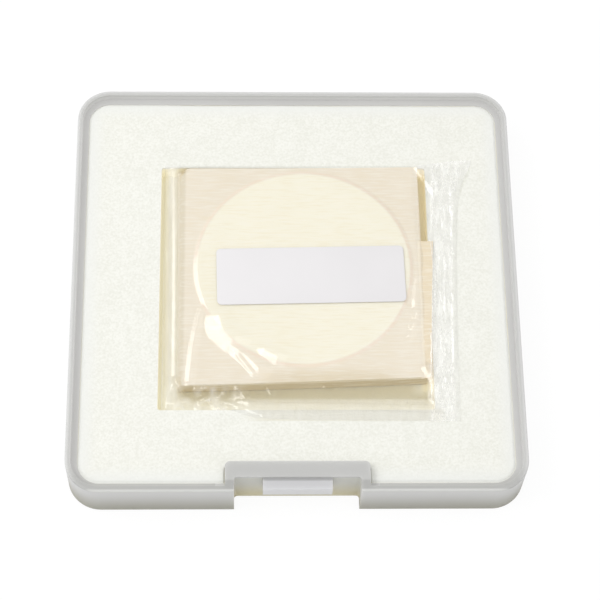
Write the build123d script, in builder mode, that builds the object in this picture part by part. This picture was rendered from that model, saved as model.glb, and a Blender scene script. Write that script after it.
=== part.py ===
"""Round optical filter, folded in paper and bagged, in the lower half of its square foam-lined case."""
from build123d import *
from math import atan2, degrees, radians, tan
import os

# Filter: a plain round glass disc
filter_diameter = 36.0
filter_thickness = 2.0
filter_bevel = 0.2

# Paper packet folded round the filter
fold_room_x = 5.1
fold_room_y = 4.6
paper_ply = 0.6
emboss_height = 0.12
emboss_margin = 0.3
packet_fold_radius = 0.9
packet_corner_radius = 0.8
packet_turn = 0.5
filter_shift_x = 0.75
filter_shift_y = 1.2
pocket_gap = 0.06
flap_reach = 1.9
flap_lean = 1.3
flap_length = 24.0
flap_thickness = 0.12

# Clear film bag, with a crimped seal at its right side and a seam along its front hem
film_thickness = 0.12
film_gap = 0.05
bag_corner_radius = 0.8
bag_shoulder = 30.0
flap_gap = 0.3
seal_reach = 5.3
seal_width = 3.6
seal_lean = 1.0
hem_reach = 1.3
crimp_pitch = 1.5
crimp_height = 0.16

# Sticker on the bag
label_length = 31.8
label_width = 10.6
label_thickness = 0.1
label_corner_radius = 0.8
label_shift_x = 1.95
label_shift_y = -0.15

# Foam inserts
pad_thickness = 3.0
frame_thickness = 3.0
recess_room_x = 4.5
recess_room_y = 5.0
recess_corner_radius = 0.6
side_gap = 1.5
back_gap = 0.35
foam_gap = 0.1
foam_edge_radius = 0.3

# Moulded case base
case_size = 75.0
case_corner_radius = 5.6
case_draft = 0.3
floor_thickness = 1.2
rim_width = 0.9
ledge_width = 1.0
rim_step = 1.4
rim_edge_radius = 0.25
bottom_edge_radius = 0.3

# Latch notch and catch in the middle of the front wall
notch_width = 20.5
notch_depth = 2.45
notch_corner_radius = 0.5
land_side = 1.5
land_back = 2.75
land_corner_radius = 0.9
catch_width = 11.2
catch_reach = 1.9
catch_height = 2.9
catch_drop = 0.3
catch_slope = 0.25
catch_edge_radius = 0.3

# Heights, from the floor of the case up
pad_top = floor_thickness + pad_thickness
ledge_height = pad_top + frame_thickness
case_height = ledge_height + rim_step
packet_bottom = pad_top + film_thickness
packet_thickness = filter_thickness + 2 * paper_ply
packet_top = packet_bottom + packet_thickness
bag_inner_top = max(packet_top + emboss_height, ledge_height + film_thickness) + film_gap
bag_top = bag_inner_top + film_thickness

# Packet and recess in plan
packet_x_size = filter_diameter + fold_room_x
packet_y_size = filter_diameter + fold_room_y
recess_x_size = packet_x_size + recess_room_x
recess_y_size = packet_y_size + recess_room_y
packet_x = recess_x_size / 2 - side_gap - packet_x_size / 2
packet_y = recess_y_size / 2 - back_gap - packet_y_size / 2
packet_plane = Plane((packet_x, packet_y, packet_bottom)).rotated((0, 0, packet_turn))


def packet_level(height):
    """The packet's own plane, moved to a height above the ground."""
    return packet_plane.offset(height - packet_bottom)


# Moulded base: tapered tray with a stepped rim, a latch notch and its catch
wall = rim_width + ledge_width
cavity_size = case_size - 2 * wall
cavity_radius = case_corner_radius - wall
seat_size = case_size - 2 * rim_width
seat_radius = case_corner_radius - rim_width
draft_inset = case_height * tan(radians(case_draft))
foot_size = case_size - 2 * draft_inset
foot_radius = case_corner_radius - draft_inset
front = -case_size / 2
land_width = notch_width + 2 * land_side
land_reach = notch_depth + land_back

with BuildPart() as case_base:
    with BuildSketch():
        RectangleRounded(foot_size, foot_size, foot_radius)
    with BuildSketch(Plane.XY.offset(case_height)):
        RectangleRounded(case_size, case_size, case_corner_radius)
    loft(ruled=True)
    fillet(case_base.faces().sort_by(Axis.Z)[0].edges(), bottom_edge_radius)
    fillet(case_base.faces().sort_by(Axis.Z)[-1].edges(), rim_edge_radius)
    with BuildSketch(Plane.XY.offset(floor_thickness)):
        RectangleRounded(cavity_size, cavity_size, cavity_radius)
        with Locations((0, front)):
            RectangleRounded(land_width, 2 * land_reach, land_corner_radius, mode=Mode.SUBTRACT)
    extrude(amount=case_height, mode=Mode.SUBTRACT)
    with BuildSketch(Plane.XY.offset(ledge_height)):
        RectangleRounded(seat_size, seat_size, seat_radius)
        with Locations((0, front)):
            RectangleRounded(land_width, 2 * land_reach, land_corner_radius, mode=Mode.SUBTRACT)
    extrude(amount=case_height, mode=Mode.SUBTRACT)
    with BuildSketch():
        with Locations((0, front)):
            RectangleRounded(notch_width, 2 * notch_depth, notch_corner_radius)
    extrude(amount=case_height, mode=Mode.SUBTRACT)
    catch_root = front + notch_depth
    catch_top = case_height - catch_drop
    with BuildSketch(Plane.YZ) as catch_profile:
        with BuildLine():
            Polyline(
                (catch_root, catch_top),
                (catch_root - catch_reach, catch_top - catch_slope),
                (catch_root - catch_reach, catch_top - catch_height),
                (catch_root, catch_top - catch_height),
                close=True,
            )
        make_face()
        fillet(catch_profile.vertices().group_by(Axis.X)[0], catch_edge_radius)
    extrude(amount=catch_width / 2, both=True)
case_base.part.label = "case_base"


def foam_outline():
    """Plan of both foam sheets: they fill the tray and step back round the latch land."""
    RectangleRounded(cavity_size - 2 * foam_gap, cavity_size - 2 * foam_gap, cavity_radius - foam_gap)
    with Locations((0, front)):
        RectangleRounded(
            land_width + 2 * foam_gap,
            2 * (land_reach + foam_gap),
            land_corner_radius + foam_gap,
            mode=Mode.SUBTRACT,
        )


# Plain foam sheet on the floor of the tray
with BuildPart() as foam_pad:
    with BuildSketch(Plane.XY.offset(floor_thickness)):
        foam_outline()
    extrude(amount=pad_thickness)
foam_pad.part.label = "foam_pad"

# Foam sheet with the square window that holds the packet
with BuildPart() as foam_frame:
    with BuildSketch(Plane.XY.offset(pad_top)):
        foam_outline()
        RectangleRounded(recess_x_size, recess_y_size, recess_corner_radius, mode=Mode.SUBTRACT)
    extrude(amount=frame_thickness)
    fillet(foam_frame.faces().sort_by(Axis.Z)[-1].edges(), foam_edge_radius)
foam_frame.part.label = "foam_frame"

# Round filter, lying in the pocket of the packet
filter_bottom = packet_bottom + paper_ply
with BuildPart() as filter_glass:
    with BuildSketch(packet_level(filter_bottom)):
        with Locations((filter_shift_x, filter_shift_y)):
            Circle(filter_diameter / 2)
    extrude(amount=filter_thickness)
    chamfer(filter_glass.edges().filter_by(GeomType.CIRCLE), filter_bevel)
filter_glass.part.label = "filter_glass"

# Folded paper: a flat packet with rounded folds, the filter's print on top and a loose flap
with BuildPart() as lens_paper:
    with BuildSketch(packet_level(packet_bottom)):
        RectangleRounded(packet_x_size, packet_y_size, packet_corner_radius)
    extrude(amount=packet_thickness)
    fillet(lens_paper.faces().sort_by(Axis.Z)[-1].edges(), packet_fold_radius)
    with BuildSketch(packet_level(packet_top)):
        with Locations((filter_shift_x, filter_shift_y)):
            Circle(filter_diameter / 2 + emboss_margin)
    extrude(amount=emboss_height, taper=45)
    flap_bottom = ledge_height + film_thickness
    flap_root = packet_x_size / 2 - packet_fold_radius
    flap_front = -packet_y_size / 2 + packet_corner_radius
    with BuildSketch(packet_level(flap_bottom)):
        with BuildLine():
            Polyline(
                (flap_root, flap_front),
                (packet_x_size / 2 + flap_reach - flap_lean, flap_front),
                (packet_x_size / 2 + flap_reach, flap_front + flap_length),
                (flap_root, flap_front + flap_length),
                close=True,
            )
        make_face()
    extrude(amount=flap_thickness)
    with BuildSketch(packet_level(filter_bottom)):
        with Locations((filter_shift_x, filter_shift_y)):
            Circle(filter_diameter / 2 + pocket_gap)
    extrude(amount=filter_thickness + pocket_gap, mode=Mode.SUBTRACT)
lens_paper.part.label = "lens_paper"

# Clear bag: a thin shell round the packet, with a sealed border that lies on the foam
bag_left = packet_x - packet_x_size / 2 - film_gap - film_thickness
bag_back = packet_y + packet_y_size / 2 + film_gap + film_thickness
bag_right = recess_x_size / 2 + seal_reach
bag_front = -recess_y_size / 2 - hem_reach
bag_depth = bag_back - bag_front
border_thickness = 2 * film_thickness
border_top = ledge_height + border_thickness
dome_room = flap_reach + flap_gap
seal_turn = degrees(atan2(2 * seal_lean, bag_depth))
seal_plane = Plane((bag_right - seal_width, (bag_back + bag_front) / 2, border_top)).rotated((0, 0, -seal_turn))
crimp_count = int((bag_depth - 2 * bag_corner_radius) / crimp_pitch)


def pocket_outline(offset):
    """Plan of the bag where it goes down round the packet, grown by an offset."""
    RectangleRounded(
        packet_x_size + 2 * offset, packet_y_size + 2 * offset, packet_corner_radius + offset
    )


def dome_outline(offset):
    """Plan of the bag above the foam, which also covers the flap of the packet."""
    with Locations((dome_room / 2, 0)):
        RectangleRounded(
            packet_x_size + dome_room + 2 * offset,
            packet_y_size + 2 * offset,
            packet_corner_radius + offset,
        )


with BuildPart() as clear_bag:
    with BuildSketch(Plane.XY.offset(ledge_height)):
        with BuildLine():
            FilletPolyline(
                (bag_left, bag_front + seal_lean),
                (bag_right - seal_lean, bag_front),
                (bag_right + seal_lean, bag_back + seal_lean),
                (bag_left, bag_back),
                close=True,
                radius=bag_corner_radius,
            )
        make_face()
    extrude(amount=border_thickness)
    with BuildSketch(packet_level(pad_top)):
        pocket_outline(film_gap + film_thickness)
    extrude(amount=ledge_height - pad_top)
    with BuildSketch(packet_level(ledge_height)):
        dome_outline(film_gap + film_thickness)
    extrude(amount=bag_top - ledge_height, taper=bag_shoulder)
    with BuildSketch(packet_level(packet_bottom)):
        pocket_outline(film_gap)
    extrude(amount=ledge_height + film_thickness - packet_bottom, mode=Mode.SUBTRACT)
    with BuildSketch(packet_level(ledge_height + film_thickness)):
        dome_outline(film_gap)
    extrude(amount=bag_inner_top - ledge_height - film_thickness, taper=bag_shoulder, mode=Mode.SUBTRACT)
    with BuildSketch(Plane(seal_plane.origin, x_dir=seal_plane.y_dir, z_dir=seal_plane.x_dir)):
        with GridLocations(crimp_pitch, 1, crimp_count, 1):
            Circle(crimp_height)
    extrude(amount=seal_width - bag_corner_radius)
clear_bag.part.label = "clear_bag"

# Sticker on the top of the bag
with BuildPart() as label:
    with BuildSketch(packet_level(bag_top)):
        with Locations((label_shift_x, label_shift_y)):
            RectangleRounded(label_length, label_width, label_corner_radius)
    extrude(amount=label_thickness)
label.part.label = "label"

os.makedirs("parts", exist_ok=True)
for piece in (case_base, foam_pad, foam_frame, filter_glass, lens_paper, clear_bag, label):
    export_step(piece.part, f"parts/{piece.part.label}.step")
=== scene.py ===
"""Looks of the bagged and paper-wrapped round filter in the open base of its foam-lined case."""
import random
from math import cos, hypot, pi, radians, sin, sqrt

import bmesh
import bpy
from mathutils import Matrix, Vector, noise


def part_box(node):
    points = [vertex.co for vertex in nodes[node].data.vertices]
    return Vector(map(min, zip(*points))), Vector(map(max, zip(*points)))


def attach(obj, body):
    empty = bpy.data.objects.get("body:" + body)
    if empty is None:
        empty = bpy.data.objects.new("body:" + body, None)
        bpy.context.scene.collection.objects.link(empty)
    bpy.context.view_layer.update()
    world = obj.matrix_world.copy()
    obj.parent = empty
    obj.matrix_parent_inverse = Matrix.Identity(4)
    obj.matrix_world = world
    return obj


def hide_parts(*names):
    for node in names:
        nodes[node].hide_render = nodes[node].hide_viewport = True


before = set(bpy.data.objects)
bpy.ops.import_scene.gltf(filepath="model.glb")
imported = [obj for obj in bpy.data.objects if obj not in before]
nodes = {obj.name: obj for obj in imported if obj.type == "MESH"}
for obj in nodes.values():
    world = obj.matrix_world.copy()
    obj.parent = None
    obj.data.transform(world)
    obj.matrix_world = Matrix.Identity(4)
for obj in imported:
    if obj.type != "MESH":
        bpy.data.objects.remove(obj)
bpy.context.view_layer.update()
mm = 0.001

# Sizes read from the solids
case_low, case_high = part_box("case_base")
pad_low, pad_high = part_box("foam_pad")
foam_low, foam_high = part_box("foam_frame")
paper_low, paper_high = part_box("lens_paper")
glass_low, glass_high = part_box("filter_glass")
sticker_low, sticker_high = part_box("label")
case_front = case_low.y
rim_top = case_high.z
glass_middle = (glass_low + glass_high) / 2
glass_radius = (glass_high.x - glass_low.x) / 2

# Sizes that the solids share with this scene
packet_turn = radians(0.5)
packet_half = Vector((20.55, 20.3)) * mm
packet_middle = Vector((0.75, 2.15)) * mm
recess_half = Vector((22.8, 22.8)) * mm
cavity_half = 35.6 * mm
cavity_radius = 3.7 * mm
corner_radius = 5.6 * mm
corner_middle = 31.9 * mm
land_half = 11.75 * mm
land_back = 5.2 * mm
land_radius = 0.9 * mm
catch_half = 5.6 * mm

# Edges worked out from them
latch_half = land_half + 1.55 * mm
packet_left = packet_middle.x - packet_half.x
packet_right = packet_middle.x + packet_half.x
packet_front = packet_middle.y - packet_half.y
recess_front = -recess_half.y

# Foam sheets: squeezed into the case, with a slight swell, tiny dimples and lower corners
foam_squeeze = 0.35 * mm
window_radius = 0.15 * mm
window_voxel = 0.3 * mm
floor_voxel = 0.36 * mm
swell, swell_wave = 0.07 * mm, 9 * mm
dimple, dimple_wave = 0.02 * mm, 1.2 * mm
foam_corner = 0.3 * mm
cutter_over = 2 * mm

# Packet: its top sheet, its rounded left fold and its plies
packet_top = paper_high.z - 0.12 * mm
packet_bottom = paper_low.z
emboss = 0.26 * mm
sheet_level = packet_top - emboss * 0.55
sheet_wave = 0.05 * mm
right_spread = 0.35 * mm
right_shift = 0.35 * mm
front_tuck = 0.65 * mm
back_reach = 0.4 * mm
edge_drop, edge_width = 0.12 * mm, 0.5 * mm
left_fold = 1.2 * mm
left_fold_length = 1.75 * mm
left_fold_drop = 1.4 * mm
plies = 6
ply_jog = 0.002
ply_room = 0.3 * mm

# Flap: tucked under the packet's right side, and wider towards its back
flap_tuck = 0.8 * mm
flap_start = 0.8 * mm
flap_end = 26.3 * mm
flap_reach = 0.9 * mm
flap_widening = 1.5 * mm
flap_lift = 0.17 * mm
flap_dip = 0.35 * mm
flap_thickness = 0.1 * mm

# Film bag: how it lies on the packet and the foam, and where its edges, seal and hem run
film_lift = 0.1 * mm
drape = 0.27 * mm
seal_height = foam_high.z + 0.12 * mm
least_over_foam = foam_high.z + 0.09 * mm
least_over_pad = pad_high.z + 0.3 * mm
left_floor = pad_high.z + 1.0 * mm
left_reach = 2.3 * mm
right_slope = 2.6 * mm
front_slope = 1.6 * mm
back_slope = 0.8 * mm
front_sag = 0.3 * mm
loose_sag = 0.3 * mm
loose_drop = 1.1 * mm
film_wave = 0.05 * mm
lower_lift = 0.2 * mm
lower_over_foam = 0.04 * mm
band_start = 22.8 * mm
band_lean = 0.045
hem_start = -20.7 * mm
hem_front = -24.9 * mm
left_edge = -22.3 * mm
back_edge = 23.1 * mm
back_flare = 1.2 * mm

# Right and front edges of the film, in millimetres: a place along the other axis, and where the edge is
right_edge = [
    (-25, 26.9), (-10, 27.1), (3, 27.5), (13, 28.1), (17, 28.6), (19.5, 29.5), (22, 30.7), (25, 31.6),
]
front_edge = [(-22, -22.3), (-11.5, -22.5), (-9, -23.5), (-6.5, -24.3), (0, -24.6), (27, -24.9)]

# Folds of the film, in millimetres: half width, height, and the line along which each one runs.
# Big folds come first and take the film's height over, and the others add to it.
big_fold = 0.5
fold_spread = 1.6
folds = [
    (2.35, 1.08, [(-12.3, -6.3), (-11.7, -8.3), (-10.1, -10.0)]),
    (1.4, 0.72, [(-13.4, -7.0), (-12.9, -8.6), (-10.6, -11.1), (-7.8, -13.3), (-6.0, -15.3)]),
    (1.45, 0.82, [(-5.0, -12.15), (-2.9, -13.1)]),
    (0.62, 0.27, [(-15.6, -4.5), (-16.6, -8.9), (-17.2, -13.0), (-17.6, -18.2)]),
    (0.35, 0.16, [(-9.6, -13.3), (-7.1, -16.6)]),
    (0.6, 0.30, [(20.8, 1.2), (20.3, -3.0), (20.4, -5.8)]),
    (0.8, 0.42, [(20.4, -5.4), (20.0, -7.6)]),
    (0.5, 0.24, [(19.9, -7.3), (19.1, -9.6)]),
    (0.45, 0.32, [(21.4, 22.9), (22.6, 20.6)]),
    (0.55, 0.38, [(23.9, 22.8), (23.0, 20.8), (23.9, 18.3)]),
    (0.4, 0.24, [(25.0, 22.0), (24.3, 20.2)]),
    (0.3, 0.20, [(24.4, 19.9), (23.9, 14.0), (23.3, 8.5), (23.6, 4.0), (22.6, -16.0)]),
    (0.4, 0.22, [(27.6, 15.4), (26.9, -1.0), (26.3, -15.7)]),
    (0.35, 0.16, [(30.6, 23.6), (28.9, 18.8), (27.8, 15.5)]),
    (0.7, 0.42, [(21.6, -15.4), (22.7, -17.4)]),
    (0.35, 0.24, [(22.2, -20.7), (22.7, -21.6)]),
    (0.5, 0.2, [(-16.9, -20.2), (-16.5, -19.0)]),
    (0.4, 0.17, [(-14.9, -20.2), (-14.5, -19.1)]),
    (0.65, 0.25, [(-9.4, -19.1), (-8.4, -20.5)]),
    (0.4, 0.15, [(-4.5, -19.0), (-4.0, -19.8)]),
    (0.35, 0.22, [(4.8, -18.8), (6.0, -18.8)]),
    (0.5, 0.30, [(-19.9, -17.5), (-19.2, -18.9), (-17.9, -18.7)]),
    (0.5, 0.15, [(-17.8, -21.8), (-14.5, -20.9), (-11.0, -21.2), (-5.0, -22.9)]),
    (0.4, 0.24, [(-9.6, -21.0), (-6.5, -21.8), (10.0, -22.0), (22.2, -22.7)]),
    (0.35, 0.20, [(-8.6, -22.6), (-5.5, -23.6), (11.0, -23.3), (24.0, -23.7)]),
]

# Fine folds from a seeded generator: how many there are, and in which stretch each way, in millimetres
fold_seed = 11
seal_creases, seal_zone = 90, [(23.0, 26.8), (-22, 22)]
corner_crumples, corner_zone = 18, [(-20, -8), (-22, -18.8)]
hem_creases, hem_zone = 30, [(-8, 20), (-24.2, -20.8)]

# Sticker on the film
sticker_half = Vector((15.9, 5.3)) * mm
sticker_radius = 0.8 * mm
sticker_thickness = 0.07 * mm
sticker_bevel = 0.03 * mm
sticker_shift = 0.35 * mm
sticker_turn = packet_turn + radians(0.7)
sticker_bottom = packet_top + emboss * 0.6 + film_lift + 0.04 * mm

# Camera at the photograph's viewing angle
view_azimuth = radians(3.98)
view_elevation = radians(63.77)
view_roll = radians(3.58)
view_distance = 353.67 * mm
view_target = Vector((1.06, 0.81, 0)) * mm
view_lens = 123.34
view_sensor = 36
view_nearest = 10 * mm

# Lights: name, place and size in metres, and power
soft_boxes = [
    ("left_box", (-0.40, 0.05, 0.50), (0.6, 0.26), 1.35),
    ("front_box", (-0.25, -0.16, 0.62), (0.3, 0.12), 0.3),
    ("right_box", (0.32, -0.04, 0.66), (0.7, 0.7), 0.6),
]
floor_size = 4
floor_glow = 1.03
sky_strength = 0.74


class Socket:
    """A shader value that can be used in sums."""

    def __init__(self, paint, socket):
        self.paint = paint
        self.socket = socket

    def __add__(self, other):
        return self.paint.math("ADD", self, other)

    def __sub__(self, other):
        return self.paint.math("SUBTRACT", self, other)

    def __rsub__(self, other):
        return self.paint.math("SUBTRACT", other, self)

    def __mul__(self, other):
        return self.paint.math("MULTIPLY", self, other)

    def __pow__(self, other):
        return self.paint.math("POWER", self, other)

    __radd__ = __add__
    __rmul__ = __mul__


class Paint:
    """A material under construction."""

    def __init__(self, name):
        self.material = bpy.data.materials.new(name)
        self.material.use_nodes = True
        self.tree = self.material.node_tree
        self.tree.nodes.clear()

    def node(self, kind, settings=None, sockets=None, out=0):
        """A new node: its settings come first, and then the values or links of its sockets."""
        made = self.tree.nodes.new("ShaderNode" + kind)
        for key, value in (settings or {}).items():
            setattr(made, key, value)
        for key, value in (sockets or {}).items():
            if isinstance(value, Socket):
                self.tree.links.new(value.socket, made.inputs[key])
            else:
                made.inputs[key].default_value = value
        return Socket(self, made.outputs[out]) if made.outputs else None

    def math(self, operation, first, second=0.0):
        """The result of one sum on numbers."""
        return self.node("Math", {"operation": operation}, {0: first, 1: second})

    def length(self, first, second):
        """Distance from zero of a place with these two coordinates."""
        return self.math("SQRT", first * first + second * second)

    def step(self, value, start, end):
        """0 before start and 1 after end, smooth between them."""
        sockets = {"Value": value, "From Min": start, "From Max": end}
        return self.node("MapRange", {"interpolation_type": "SMOOTHSTEP"}, sockets)

    def fade(self, value, start, end):
        """1 before start and 0 after end, smooth between them."""
        return 1 - self.step(value, start, end)

    def band(self, value, start, full, fading, end):
        """0 before start and after end, and 1 from full to fading."""
        return self.step(value, start, full) * self.fade(value, fading, end)

    def mix(self, factor, first, second):
        """Colour between two colours."""
        return self.node("Mix", {"data_type": "RGBA"}, {0: factor, 6: first, 7: second}, out=2)

    def place(self, centre=(0, 0, 0), scale=(1, 1, 1)):
        """Object coordinates, seen from a centre and scaled."""
        where = self.node("TexCoord", out=3)
        moved = self.node("VectorMath", {"operation": "SUBTRACT"}, {0: where, 1: centre})
        return self.node("Mapping", None, {"Vector": moved, "Scale": scale})

    def axis(self, vector, name):
        """One coordinate of a place."""
        return self.node("SeparateXYZ", None, {"Vector": vector}, out="XYZ".index(name))

    def grain(self, vector, scale, detail=2.0, rough=0.5):
        """Noise from 0 to 1, finer with a bigger scale."""
        sockets = {"Vector": vector, "Scale": scale, "Detail": detail, "Roughness": rough}
        return self.node("TexNoise", None, sockets)

    def bump(self, height, strength, distance):
        """A surface direction that shows a relief."""
        sockets = {"Height": height, "Strength": strength, "Distance": distance}
        return self.node("Bump", None, sockets)

    def finish(self, surface):
        """The material, with this surface."""
        self.node("OutputMaterial", None, {"Surface": surface})
        return self.material


def rgb(red, green, blue):
    """A display colour, 0 to 255, as the linear colour that shows as it."""
    return (*[((c / 255 + 0.055) / 1.055) ** 2.4 for c in (red, green, blue)], 1)


def foam_paint(name, dark, light, painted_glow_strength):
    """Fine foam: faint mottling, a grain of tiny cells, and a painted glow that stands in for light
    seeping through it.
    """
    paint = Paint(name)
    where = paint.place()
    across, depth = paint.axis(where, "X"), paint.axis(where, "Y")
    outward = paint.math("MAXIMUM", paint.math("ABSOLUTE", across), paint.math("ABSOLUTE", depth))
    mottle = paint.grain(where, 260, 2) * 0.2 + paint.grain(where, 2700, 3) * 0.8
    colour = paint.mix(paint.step(mottle, 0.3, 0.7), dark, light)

    # Cooler towards the case's walls, and painted shade down in the recess, darker and warmer there
    border = paint.step(outward, cavity_half - 3.4 * mm, cavity_half - 0.4 * mm)
    colour = paint.mix(border * 0.8, colour, rgb(236, 237, 233))
    deep = paint.fade(paint.axis(where, "Z"), foam_high.z - 0.6 * mm, foam_high.z - 0.1 * mm)
    colour = paint.mix(deep * 0.8, colour, rgb(230, 227, 209))

    # Painted light in the gap to the right of the packet, and painted shade in front of it and under it
    beside = paint.step(depth, packet_front - 1.35 * mm, packet_front + 0.65 * mm)
    painted_gap_light = paint.step(across, packet_right - 0.7 * mm, packet_right + 0.1 * mm) * beside * deep
    colour = paint.mix(painted_gap_light * 0.9, colour, rgb(248, 240, 208))
    shade = paint.step(depth, recess_front + 0.7 * mm, packet_front - 0.45 * mm) * deep
    shade = shade * paint.step(across, packet_left - 1.7 * mm, packet_left + 1.3 * mm)
    shade = shade * (1 - paint.step(across, packet_right - 2.8 * mm, packet_right + 0.2 * mm) * beside)
    colour = paint.mix(shade, colour, rgb(206, 197, 164))

    # Painted shade: the foam is a little darker under the hem of the film
    hem = paint.band(depth, hem_front, hem_front + 0.3 * mm, recess_front, recess_front + 0.4 * mm)
    hem = hem * (1 - deep) * paint.band(across, -10 * mm, -4 * mm, 23 * mm, 25 * mm)
    colour = paint.mix(hem * 0.6, colour, rgb(222, 218, 200))

    # A painted glow, mostly on the recess walls and floor, standing in for light seeping through the foam;
    # weaker in the painted shade in front of the packet
    painted_glow_share = deep * (1 - shade * (1 - beside) * 0.6)
    cells = paint.node("TexVoronoi", None, {"Vector": where, "Scale": 2600})
    relief = paint.grain(where, 3000, 2) + cells * 0.5
    return paint.finish(paint.node("BsdfPrincipled", None, {
        "Base Color": colour,
        "Roughness": 0.9,
        "Specular IOR Level": 0.2,
        "Emission Color": paint.mix(painted_glow_share, (0, 0, 0, 1), rgb(250, 238, 200)),
        "Emission Strength": painted_glow_strength,
        "Normal": paint.bump(relief, 0.35, 0.12 * mm),
    }))


def plastic_paint():
    """Frosted translucent polypropylene: soft grey, with flow marks, painted shade, and a painted glow
    that stands in for light seeping through it.
    """
    paint = Paint("frosted_polypropylene")
    where = paint.place()
    height, ahead = paint.axis(where, "Z"), paint.axis(where, "Y")
    side = paint.math("ABSOLUTE", paint.axis(where, "X"))
    inward = ahead - case_front

    # Parts of the rim: the outside of its round corners, its crest, the latch, and the step inside it
    past_x = paint.math("MAXIMUM", side - corner_middle, 0.0)
    past_y = paint.math("MAXIMUM", paint.math("ABSOLUTE", ahead) - corner_middle, 0.0)
    outside = paint.step(
        paint.length(past_x, past_y), corner_radius - 0.6 * mm, corner_radius - 0.3 * mm,
    )
    crest = paint.step(height, rim_top - 0.7 * mm, rim_top - 0.3 * mm)
    latch = paint.fade(side, latch_half - 0.1 * mm, latch_half + 0.1 * mm)
    latch = latch * paint.fade(inward, 4.5 * mm, 5.0 * mm)
    step = paint.step(height, foam_high.z - 0.6 * mm, foam_high.z - 0.2 * mm)
    step = step * (1 - crest) * (1 - outside) * (1 - latch)

    # The front of the rim, with a soft inner edge, and a sharp one at the latch
    middle = paint.fade(side, latch_half, latch_half + 0.2 * mm)
    front = paint.fade(inward, 1.0 * mm, 5.0 * mm)
    front = front + (paint.fade(inward, 1.7 * mm, 2.2 * mm) - front) * middle

    # Painted shade: darker towards the bottom, on the crest, more so at the front of the crest, and on the
    # step
    body = paint.mix(paint.step(height, 0.0, 7.8 * mm), rgb(148, 146, 132), rgb(196, 196, 195))
    body = paint.mix(crest * (1 - outside), body, rgb(182, 182, 180))
    body = paint.mix(crest * front * 0.7, body, rgb(150, 150, 147))
    body = paint.mix(step, body, rgb(130, 130, 129))

    # The wall round the notch, warmer towards the floor
    wall = paint.band(inward, 1.3 * mm, 1.6 * mm, 3.5 * mm, 3.8 * mm) * (1 - crest)
    wall = wall * paint.fade(side, land_half + 0.05 * mm, land_half + 0.25 * mm)
    wall_colour = paint.mix(
        paint.step(height, 0.0, 6.8 * mm), rgb(206, 197, 160), rgb(194, 194, 186),
    )
    body = paint.mix(wall, body, wall_colour)
    cloud = paint.grain(where, 60, 3)
    colour = paint.mix(cloud * 0.25, body, rgb(196, 196, 196))

    # The catch: pale, with a painted highlight on its front face and painted shade where it meets the wall
    catch = paint.fade(side, catch_half, catch_half + 0.2 * mm) * paint.fade(inward, 2.3 * mm, 2.5 * mm)
    colour = paint.mix(catch * 0.6, colour, rgb(204, 204, 208))
    painted_catch_highlight = catch * paint.fade(inward, 0.55 * mm, 0.8 * mm)
    colour = paint.mix(painted_catch_highlight * 0.6, colour, rgb(212, 212, 214))
    painted_catch_shade = catch * paint.step(inward, 1.8 * mm, 2.1 * mm)
    colour = paint.mix(painted_catch_shade * 0.6, colour, rgb(130, 130, 128))

    # A painted highlight: a pale line along the top of the front face
    edge = paint.step(height, rim_top - 0.6 * mm, rim_top - 0.3 * mm)
    edge = edge * paint.fade(inward, 0.2 * mm, 0.5 * mm)
    colour = paint.mix(edge * 0.45, colour, rgb(222, 222, 219))

    # A painted glow that stands in for light seeping through the plastic: less at the front, least on the
    # step
    glow = paint.mix(front, rgb(247, 246, 243), rgb(212, 212, 206))
    streaks = paint.grain(paint.place(scale=(1, 1, 0.2)), 900, 2)
    return paint.finish(paint.node("BsdfPrincipled", None, {
        "Base Color": colour,
        "Roughness": 0.42 + cloud * 0.12,
        "Specular IOR Level": 0.25,
        "Subsurface Weight": 0.4,
        "Subsurface Radius": (0.9, 0.9, 0.85),
        "Subsurface Scale": 3 * mm,
        "Emission Color": paint.mix(step, rgb(104, 104, 103), glow),
        "Emission Strength": 0.35,
        "Normal": paint.bump(streaks, 0.08, 0.1 * mm),
    }))


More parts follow.
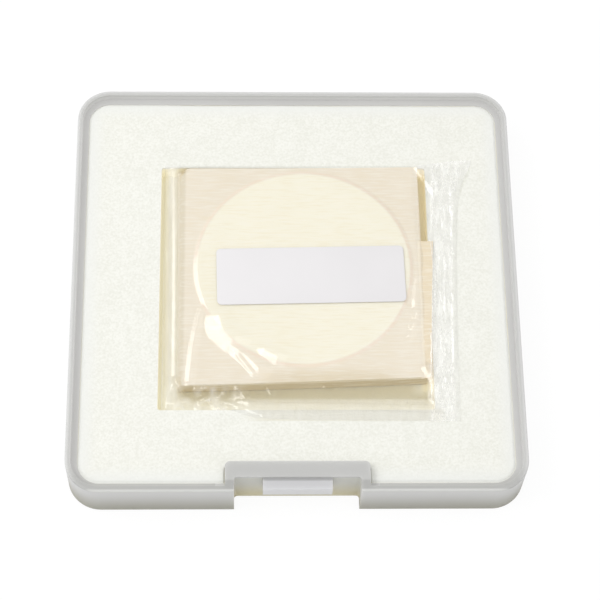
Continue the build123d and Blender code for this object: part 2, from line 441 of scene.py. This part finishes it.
def paper_paint():
    """Lens paper: beige, fibrous, and lighter where it lies tight on the glass."""
    paint = Paint("lens_paper")
    where = paint.place(centre=glass_middle)
    radius = paint.length(paint.axis(where, "X"), paint.axis(where, "Y"))
    cloud = paint.grain(where, 90, 2)
    rim = paint.band(
        radius, glass_radius, glass_radius + 0.2 * mm, glass_radius + 0.3 * mm, glass_radius + 0.9 * mm,
    )
    loose = paint.mix(cloud, rgb(240, 229, 209), rgb(247, 238, 221))
    loose = paint.mix(rim * 0.35, loose, rgb(250, 226, 206))
    tight = paint.mix(cloud, rgb(250, 244, 222), rgb(254, 250, 233))
    inside = paint.fade(radius, glass_radius - 0.3 * mm, glass_radius + 0.25 * mm)
    colour = paint.mix(inside, loose, tight)

    # Painted shade down the left fold and where the top sheet sags at its front, and darker on the flap
    sheet = paint.place()
    side, ahead = paint.axis(sheet, "X"), paint.axis(sheet, "Y")
    fold = paint.fade(side, packet_left + 0.8 * mm, packet_left + 1.5 * mm)
    colour = paint.mix(fold * 0.9, colour, rgb(226, 216, 193))
    on_flap = paint.step(side, packet_right - 0.1 * mm, packet_right + 0.3 * mm)
    colour = paint.mix(on_flap, colour, rgb(228, 214, 188))
    painted_sag_shade = paint.fade(ahead, packet_front + 0.95 * mm, packet_front + 3.35 * mm)
    painted_sag_shade = painted_sag_shade * paint.band(side, -8 * mm, 0.0, 13 * mm, 19 * mm)
    colour = paint.mix(painted_sag_shade * 0.75, colour, rgb(226, 211, 180))

    # Painted shade on the plies, which show below the top sheet everywhere but at the left fold
    top_sheet = paint.step(paint.axis(sheet, "Z"), packet_top - 1.1 * mm, packet_top - 0.4 * mm)
    at_fold = paint.fade(side, packet_left + 0.2 * mm, packet_left + 1.3 * mm)
    colour = paint.mix(paint.math("MAXIMUM", top_sheet, at_fold), rgb(208, 191, 151), colour)

    fibres = paint.grain(paint.place(scale=(0.1, 1, 1)), 3000, 3)
    colour = paint.mix(paint.step(fibres, 0.45, 0.7) * 0.33, colour, rgb(255, 251, 240))
    colour = paint.mix(paint.fade(fibres, 0.3, 0.5) * 0.22, colour, rgb(240, 226, 192))
    return paint.finish(paint.node("BsdfPrincipled", None, {
        "Base Color": colour,
        "Roughness": 0.85,
        "Specular IOR Level": 0.15,
        "Normal": paint.bump(fibres, 0.25, 0.08 * mm),
    }))


def film_paint(name, shine):
    """Clear film: see-through with bright glints, and milky where it is crimped or folded."""
    paint = Paint(name)
    milk = paint.node("Attribute", {"attribute_name": "milk"}, out=2)
    streaks = paint.grain(paint.place(scale=(1, 0.22, 1)), 1500, 3, 0.6)
    waves = paint.grain(paint.place(), 420, 2)
    normal = paint.bump(streaks * milk + waves * 0.1, 0.4, 0.2 * mm)
    tint = paint.mix(paint.step(streaks, 0.35, 0.7), rgb(236, 235, 234), rgb(255, 255, 255))
    clear = paint.node("BsdfTransparent", None, {"Color": (0.995, 0.995, 0.99, 1)})
    gloss = paint.node("BsdfGlossy", None, {"Roughness": 0.2, "Normal": normal})
    # The milky haze has a painted glow that stands in for light passing through the film
    haze = paint.node("BsdfPrincipled", None, {
        "Base Color": tint,
        "Roughness": 0.4,
        "Emission Color": tint,
        "Emission Strength": 0.38,
        "Normal": normal,
    })
    body = paint.node("MixShader", None, {0: milk * (0.25 + streaks * 0.5), 1: clear, 2: haze})
    slant = paint.node("LayerWeight", None, {"Blend": 0.5, "Normal": normal}, out=1)
    return paint.finish(paint.node("MixShader", None, {0: slant ** 4 * 0.8 + shine, 1: body, 2: gloss}))


def sticker_paint():
    """White sticker: smooth, faintly cool, and bare."""
    paint = Paint("white_sticker")
    where = paint.place()
    tone = paint.mix(paint.grain(where, 120, 2), rgb(226, 224, 225), rgb(231, 229, 230))
    return paint.finish(paint.node("BsdfPrincipled", None, {
        "Base Color": tone,
        "Roughness": 0.5,
        "Normal": paint.bump(paint.grain(where, 2500, 2), 0.06, 0.1 * mm),
    }))


def glass_paint():
    """Coated filter glass: a teal cast that mirrors a little."""
    paint = Paint("coated_glass")
    where = paint.place(centre=glass_middle)
    tint = paint.mix(paint.grain(where, 40, 1), rgb(120, 176, 178), rgb(150, 200, 190))
    return paint.finish(paint.node("BsdfPrincipled", None, {
        "Base Color": tint,
        "Roughness": 0.03,
        "Transmission Weight": 0.8,
        "Coat Weight": 0.5,
    }))


def floor_paint():
    """White floor: it shows as an even white, and throws light on the case as plain white does."""
    paint = Paint("white_floor")
    seen_by_camera = paint.node("LightPath")
    lit = paint.node("BsdfDiffuse", None, {"Color": (0.9, 0.9, 0.9, 1)})
    glow = paint.node("Emission", None, {"Color": (1, 1, 1, 1), "Strength": floor_glow})
    return paint.finish(paint.node("MixShader", None, {0: seen_by_camera * 0.88, 1: lit, 2: glow}))


def deselect():
    """Leaves no object selected."""
    bpy.ops.object.select_all(action="DESELECT")


def pick(piece):
    """Selects one piece alone and makes it active."""
    deselect()
    bpy.context.view_layer.objects.active = piece
    piece.select_set(True)


def apply(piece, kind, **settings):
    """Adds a modifier to a piece and applies it."""
    pick(piece)
    modifier = piece.modifiers.new(kind.lower(), kind)
    for key, value in settings.items():
        setattr(modifier, key, value)
    bpy.ops.object.modifier_apply(modifier=modifier.name)


def settle(piece):
    """Puts the place, turn and size of a piece into its mesh."""
    pick(piece)
    bpy.ops.object.transform_apply(location=True, rotation=True, scale=True)


def smooth(piece, limit=40):
    """Shades a piece smooth, but for edges sharper than a limit in degrees."""
    pick(piece)
    bpy.ops.object.shade_smooth_by_angle(angle=radians(limit))


def block(name, low, high, radius):
    """A box from corner to corner whose upright edges are rounded."""
    deselect()
    low, high = Vector(low), Vector(high)
    bpy.ops.mesh.primitive_cube_add(size=1, location=(low + high) / 2, scale=high - low)
    piece = bpy.context.object
    piece.name = piece.data.name = name
    settle(piece)
    bpy.ops.object.mode_set(mode="EDIT")
    bpy.ops.mesh.select_mode(type="EDGE")
    bpy.ops.mesh.select_all(action="DESELECT")
    mesh = bmesh.from_edit_mesh(piece.data)
    for edge in mesh.edges:
        first, second = edge.verts
        edge.select_set(abs(first.co.z - second.co.z) > 0.01 * mm)
    bmesh.update_edit_mesh(piece.data)
    bpy.ops.mesh.bevel(offset=radius, segments=8, affect="EDGES", clamp_overlap=False)
    bpy.ops.object.mode_set(mode="OBJECT")
    return piece


def grid(name, columns, rows):
    """A flat sheet of squares from -0.5 to 0.5 each way."""
    deselect()
    bpy.ops.mesh.primitive_grid_add(x_subdivisions=columns, y_subdivisions=rows, size=1)
    piece = bpy.context.object
    piece.name = piece.data.name = name
    return piece


def cut(piece, cutter):
    """Takes the cutter's shape out of a piece."""
    apply(piece, "BOOLEAN", object=cutter, operation="DIFFERENCE", solver="EXACT")
    bpy.data.objects.remove(cutter)


def coat(piece, paint):
    """Gives a piece one material."""
    piece.data.materials.clear()
    piece.data.materials.append(paint)


def wear(piece, node, paint):
    """Dresses a piece: its material and the node that it stands for."""
    coat(piece, paint)
    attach(piece, "root")
    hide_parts(node)


def ripple(x, y, size, seed):
    """Smooth noise from about -1 to 1 over places in metres, with waves of a given size."""
    return noise.noise(Vector((x / size, y / size, seed)))


def clamp(value):
    """The value, kept from 0 to 1."""
    return min(1.0, max(0.0, value))


def rise(value, start, end):
    """0 before start and 1 after end, smooth between them."""
    share = clamp((value - start) / (end - start))
    return share * share * (3 - 2 * share)


def slope(value, start, end, bend=0.2):
    """0 before start and 1 after end, with an even slope that is rounded in a share at each end."""
    share = clamp((value - start) / (end - start))
    if share < bend:
        return share * share / (2 * bend * (1 - bend))
    if share > 1 - bend:
        return 1 - (1 - share) ** 2 / (2 * bend * (1 - bend))
    return (share - bend / 2) / (1 - bend)


def along(table, where):
    """Value of a table at a place, in metres, with straight lines between its entries."""
    where /= mm
    for (low, first), (high, second) in zip(table, table[1:]):
        if where < high:
            return (first + (second - first) * clamp((where - low) / (high - low))) * mm
    return table[-1][1] * mm


def to_packet(x, y):
    """A place in the case as a place in the turned packet, from its middle."""
    dx, dy = x - packet_middle.x, y - packet_middle.y
    return dx * cos(packet_turn) + dy * sin(packet_turn), dy * cos(packet_turn) - dx * sin(packet_turn)


def from_packet(px, py):
    """A place in the turned packet, from its middle, as a place in the case."""
    x = packet_middle.x + px * cos(packet_turn) - py * sin(packet_turn)
    y = packet_middle.y + px * sin(packet_turn) + py * cos(packet_turn)
    return x, y


def from_glass(x, y):
    """Distance of a place from the middle of the glass."""
    return hypot(x - glass_middle.x, y - glass_middle.y)


def foam_sheet(name, bottom, top, window, voxel):
    """One foam sheet of the tray, stepped back round the latch, with soft edges and a slight swell."""
    half = cavity_half + foam_squeeze
    sheet = block(name, (-half, -half, bottom), (half, half, top), cavity_radius + foam_squeeze)
    cut(sheet, block(
        "land_cutter", (-land_half, case_front - cutter_over, bottom - cutter_over),
        (land_half, case_front + land_back, top + cutter_over), land_radius,
    ))
    if window:
        cut(sheet, block(
            "window_cutter", (-recess_half.x, -recess_half.y, bottom - cutter_over),
            (recess_half.x, recess_half.y, top + cutter_over), window_radius,
        ))
    apply(sheet, "REMESH", mode="VOXEL", voxel_size=voxel)
    middle = (bottom + top) / 2
    for vertex in sheet.data.vertices:
        point = vertex.co
        if point.z > middle:
            point.z += swell * ripple(point.x, point.y, swell_wave, seed=1.5)
            point.z += dimple * ripple(point.x, point.y, dimple_wave, seed=4.5)
            outward = hypot(max(0.0, abs(point.x) - corner_middle), max(0.0, abs(point.y) - corner_middle))
            point.z -= foam_corner * rise(outward, cavity_radius - foam_corner, cavity_radius)
    smooth(sheet, 60)
    return sheet


def disc_rise(x, y):
    """How far the glass pushes the paper up at a place: 0 to 1."""
    return 1 - rise(from_glass(x, y), glass_radius - 0.1 * mm, glass_radius + 0.9 * mm)


def paper_height(x, y):
    """Height of the packet's top sheet, which is a little wavy beside the glass."""
    height = sheet_level + emboss * disc_rise(x, y)
    return height + sheet_wave * ripple(x, y, 7 * mm, seed=8.5) * (1 - disc_rise(x, y))


def left_fold_width(y):
    """Width of the packet's rounded left fold: wider towards its back corner and at its front."""
    width = left_fold + 0.5 * mm * rise(y, 15 * mm, 22 * mm) + 0.9 * mm * rise(y, 20.8 * mm, 22.4 * mm)
    return width + 0.6 * mm * (1 - rise(y, -17.8 * mm, -15.2 * mm))


def paper_packet():
    """The folded packet: a top sheet drawn over the glass, with plies at its sides."""
    sheet = grid("folded_lens_paper", columns=150, rows=150)
    for vertex in sheet.data.vertices:
        u, v = vertex.co.x + 0.5, vertex.co.y + 0.5
        px = (2 * u - 1) * packet_half.x + right_spread * u
        py = (2 * v - 1) * packet_half.y + right_shift * u + front_tuck * u * u * (1 - v)
        py += back_reach * (1 - u) ** 2 * v ** 6
        x, y = from_packet(px, py)
        edge = min(packet_half.x - abs(px), packet_half.y - abs(py))
        drop = edge_drop * (1 - rise(edge, 0, edge_width))
        share = clamp((left_fold_width(y) - px - packet_half.x) / left_fold_length)
        drop += left_fold_drop * (1 - sqrt(1 - share * share))
        vertex.co = (x, y, paper_height(x, y) - drop)
    bpy.ops.object.mode_set(mode="EDIT")
    bpy.ops.mesh.select_all(action="DESELECT")
    bpy.ops.mesh.select_mode(type="EDGE")
    bpy.ops.mesh.select_non_manifold()
    down = (packet_top - packet_bottom - ply_room) / plies
    for ply in range(plies):
        size = 1 - ply_jog if ply % 2 else 1 + ply_jog
        bpy.ops.mesh.extrude_region_move(TRANSFORM_OT_translate={"value": (0, 0, -down)})
        bpy.ops.transform.resize(value=(size, size, 1))
    bpy.ops.mesh.edge_face_add()
    bpy.ops.object.mode_set(mode="OBJECT")
    smooth(sheet, 50)
    return sheet


def paper_flap():
    """The loose edge of the folded sheet that stands out to the right."""
    flap = grid("paper_flap", columns=16, rows=60)
    root = packet_half.x - flap_tuck
    front, back = -packet_half.y + flap_start, -packet_half.y + flap_end
    for vertex in flap.data.vertices:
        u, v = vertex.co.x + 0.5, vertex.co.y + 0.5
        px = root + u * (flap_tuck + flap_reach + flap_widening * v)
        x, y = from_packet(px, front + v * (back - front))
        height = foam_high.z + flap_lift + sheet_wave * ripple(x, y, 6 * mm, seed=3.5)
        height -= flap_dip * (1 - rise(px, root, packet_half.x + 0.2 * mm))
        vertex.co = (x, y, height)
    apply(flap, "SOLIDIFY", thickness=flap_thickness, offset=1)
    smooth(flap, 50)
    return flap


def extra_folds():
    """Fine folds, as in the table: of the crimped seal, at the packet's left front, and of the hem."""
    dice = random.Random(fold_seed)
    made = []

    def anywhere(zone):
        """A place in a zone."""
        return [dice.uniform(*stretch) for stretch in zone]

    for _ in range(seal_creases):
        x, y = anywhere(seal_zone)
        reach, sway = dice.uniform(0.8, 3.4), dice.uniform(-0.35, 0.35)
        line = [(x + band_lean * y, y), (x + sway + band_lean * (y + reach), y + reach)]
        made.append((dice.uniform(0.12, 0.26), dice.uniform(0.06, 0.15), line))
    for _ in range(corner_crumples):
        x, y = anywhere(corner_zone)
        turn, reach = dice.uniform(-0.9, 0.9), dice.uniform(0.6, 1.8)
        line = [(x, y), (x + reach * cos(turn), y + reach * sin(turn))]
        made.append((dice.uniform(0.3, 0.55), dice.uniform(0.08, 0.22), line))
    for _ in range(hem_creases):
        x, y = anywhere(hem_zone)
        width, height = dice.uniform(0.14, 0.24), dice.uniform(0.04, 0.1)
        made.append((width, height, [(x, y), (x + dice.uniform(2, 8), y - dice.uniform(0.0, 0.3))]))
    return made


def fold_box(width, line):
    """The box that a fold can lift, in millimetres."""
    margin = fold_spread * width
    xs, ys = zip(*line)
    return min(xs) - margin, max(xs) + margin, min(ys) - margin, max(ys) + margin


folds += extra_folds()
fold_boxes = [fold_box(width, line) for width, height, line in folds]


def line_gap(x, y, line):
    """Distance from a place to a line of straight pieces."""
    gaps = []
    for (ax, ay), (bx, by) in zip(line, line[1:]):
        dx, dy = bx - ax, by - ay
        share = clamp(((x - ax) * dx + (y - ay) * dy) / (dx * dx + dy * dy))
        gaps.append(hypot(x - ax - share * dx, y - ay - share * dy))
    return min(gaps)


def fold_rise(x, y):
    """How far the folds lift the film at a place."""
    x, y = x / mm, y / mm
    total = 0.0
    for (width, height, line), (low_x, high_x, low_y, high_y) in zip(folds, fold_boxes):
        if low_x < x < high_x and low_y < y < high_y:
            lift = height * (1 - slope(line_gap(x, y, line), 0, fold_spread * width))
            total = max(total, lift) if height > big_fold else total + lift
    return total * mm


def looseness(x):
    """1 where the film in front of the packet is loose, at the left, and 0 where it is taut."""
    return 1 - rise(x, -13 * mm, -7 * mm)


def film_height(x, y):
    """Height of the bag's upper film: tight over the packet, down at the fold, flat at the seals."""
    px, py = to_packet(x, y)
    left = -packet_half.x - px
    right = px - packet_half.x
    ahead = -packet_half.y - py
    behind = py - packet_half.y
    cover = (1 - rise(right, 0, right_slope)) * (1 - rise(ahead, -0.3 * mm, front_slope))
    cover *= 1 - rise(behind, -0.1 * mm, back_slope)
    height = seal_height + (sheet_level + film_lift - seal_height) * cover
    on_disc = 1 - slope(from_glass(x, y), glass_radius - 0.2 * mm, glass_radius + 0.8 * mm)
    height += max(fold_rise(x, y), drape * on_disc)
    if ahead > 0:
        share = clamp(ahead / (packet_front - recess_front))
        within = rise(recess_half.x - x, 0, 2 * mm) * rise(x + recess_half.x, 0, 2 * mm)
        height -= (front_sag + loose_sag * looseness(x)) * sin(pi * share) * within
        height -= loose_drop * rise(ahead, 0.8 * mm, 3.4 * mm) * looseness(x)
    height += film_wave * ripple(x, y * 0.5, 6 * mm, seed=5.5)
    if left > 0:
        share = clamp(left / left_reach)
        height = left_floor + (height - left_floor) * sqrt(1 - share * share)
    if max(abs(x) - recess_half.x, abs(y) - recess_half.y) > -0.1 * mm:
        height = max(height, least_over_foam)
    return max(height, least_over_pad)


def film_milk(x, y, right):
    """How milky the film is at a place: 0 to 1, from its seal, hem, left fold and crumples."""
    px, py = to_packet(x, y)
    band = rise(x - band_lean * y, band_start - 0.6 * mm, band_start + 0.4 * mm)
    band *= 1 - 0.5 * rise(x, right - 1.1 * mm, right - 0.4 * mm)
    hem = rise(-y, -hem_start - 0.2 * mm, -hem_start + 0.5 * mm)
    side = rise(-packet_half.x - px, -0.6 * mm, 0.4 * mm)
    corner = rise(y, 20.3 * mm, 21.8 * mm) * rise(x, 20.9 * mm, 21.6 * mm)
    crumple = rise(-packet_half.y - py, 0, 1 * mm) * looseness(x)
    crumple *= 0.5 + ripple(x, y, 1.4 * mm, seed=12.5)
    return max(0.6 * band, 0.3 * hem, 0.45 * side, 0.5 * corner, 0.5 * crumple)


def clear_bag():
    """The upper film of the bag, drawn over the packet and its flap to the seals."""
    upper = grid("film_bag", columns=312, rows=300)
    milk = upper.data.attributes.new("milk", "FLOAT", "POINT")
    for index, vertex in enumerate(upper.data.vertices):
        u, v = vertex.co.x + 0.5, vertex.co.y + 0.5
        right = along(right_edge, hem_front + v * (back_edge - hem_front))
        x = left_edge + u * (right - left_edge)
        front = along(front_edge, x)
        y = front + v * (back_edge + back_flare * rise(x, 18 * mm, 31 * mm) - front)
        vertex.co = (x, y, film_height(x, y))
        milk.data[index].value = film_milk(x, y, right)
    smooth(upper, 180)
    return upper


def bag_back():
    """The lower film of the bag: under the packet on the foam floor, and under the seals on the foam."""
    lower = grid("film_bag_back", columns=96, rows=96)
    milk = lower.data.attributes.new("milk", "FLOAT", "POINT")
    front = hem_front + 0.1 * mm
    low, high = pad_high.z + lower_lift, foam_high.z + lower_over_foam
    for index, vertex in enumerate(lower.data.vertices):
        u, v = vertex.co.x + 0.5, vertex.co.y + 0.5
        y = front + v * (back_edge - front)
        x = left_edge + u * (along(right_edge, y) - left_edge)
        y = max(y, along(front_edge, x))
        outward = max(abs(x) - recess_half.x, abs(y) - recess_half.y)
        vertex.co = (x, y, low + (high - low) * rise(outward, -0.5 * mm, 0))
        milk.data[index].value = 0.0
    smooth(lower, 180)
    return lower


def sticker():
    """The white sticker, laid on the film with its corners rounded."""
    half, low, high = sticker_half, sticker_bottom, sticker_bottom + sticker_thickness
    piece = block("white_sticker", (-half.x, -half.y, low), (half.x, half.y, high), sticker_radius)
    middle = (sticker_low + sticker_high) / 2
    piece.location = (middle.x, middle.y - sticker_shift, 0)
    piece.rotation_euler = (0, 0, sticker_turn)
    settle(piece)
    apply(piece, "BEVEL", width=sticker_bevel, segments=2, limit_method="ANGLE")
    smooth(piece)
    return piece


def soft_box(name, place, size, power):
    """A soft light that looks at the case."""
    lamp = bpy.data.lights.new(name, "AREA")
    lamp.shape = "RECTANGLE"
    lamp.size, lamp.size_y = size
    lamp.energy = power
    holder = bpy.data.objects.new(name, lamp)
    bpy.context.scene.collection.objects.link(holder)
    holder.location = place
    holder.rotation_euler = (-Vector(place)).to_track_quat("-Z", "Y").to_euler()


def stage():
    """White floor, soft lights and a pale surrounding."""
    deselect()
    bpy.ops.mesh.primitive_plane_add(size=floor_size)
    floor = bpy.context.object
    floor.name = "floor"
    floor.data.materials.append(floor_paint())
    world = bpy.data.worlds.new("studio")
    world.use_nodes = True
    background = world.node_tree.nodes["Background"]
    background.inputs["Color"].default_value = (1, 1, 1, 1)
    background.inputs["Strength"].default_value = sky_strength
    bpy.context.scene.world = world
    for box in soft_boxes:
        soft_box(*box)


def photo_camera():
    """A camera that looks down at the case as the photograph does."""
    level = Vector((cos(view_azimuth), -sin(view_azimuth), 0))
    flat = cos(view_elevation)
    forward = Vector((sin(view_azimuth) * flat, cos(view_azimuth) * flat, -sin(view_elevation)))
    above = level.cross(forward)
    right = cos(view_roll) * level + sin(view_roll) * above
    up = cos(view_roll) * above - sin(view_roll) * level
    data = bpy.data.cameras.new("camera")
    data.lens = view_lens
    data.sensor_width = view_sensor
    data.clip_start = view_nearest
    camera = bpy.data.objects.new("camera", data)
    bpy.context.scene.collection.objects.link(camera)
    turn = Matrix((right, up, -forward)).transposed().to_4x4()
    camera.matrix_world = Matrix.Translation(view_target - view_distance * forward) @ turn
    bpy.context.scene.camera = camera


photo_camera()
stage()

coat(nodes["case_base"], plastic_paint())
coat(nodes["filter_glass"], glass_paint())

top_foam = foam_sheet("foam_with_window", foam_low.z, foam_high.z, window=True, voxel=window_voxel)
wear(top_foam, "foam_frame", foam_paint("white_foam", rgb(230, 230, 221), rgb(241, 241, 234), 0.28))
floor_foam = foam_sheet("foam_floor", pad_low.z, pad_high.z, window=False, voxel=floor_voxel)
wear(floor_foam, "foam_pad", foam_paint("cream_foam", rgb(241, 238, 219), rgb(245, 243, 228), 0.10))

beige_paper = paper_paint()
wear(paper_packet(), "lens_paper", beige_paper)
wear(paper_flap(), "lens_paper", beige_paper)
wear(clear_bag(), "clear_bag", film_paint("clear_film", 0.13))
wear(bag_back(), "clear_bag", film_paint("clear_film_below", 0.02))
wear(sticker(), "label", sticker_paint())

bpy.context.scene.view_settings.view_transform = "Standard"
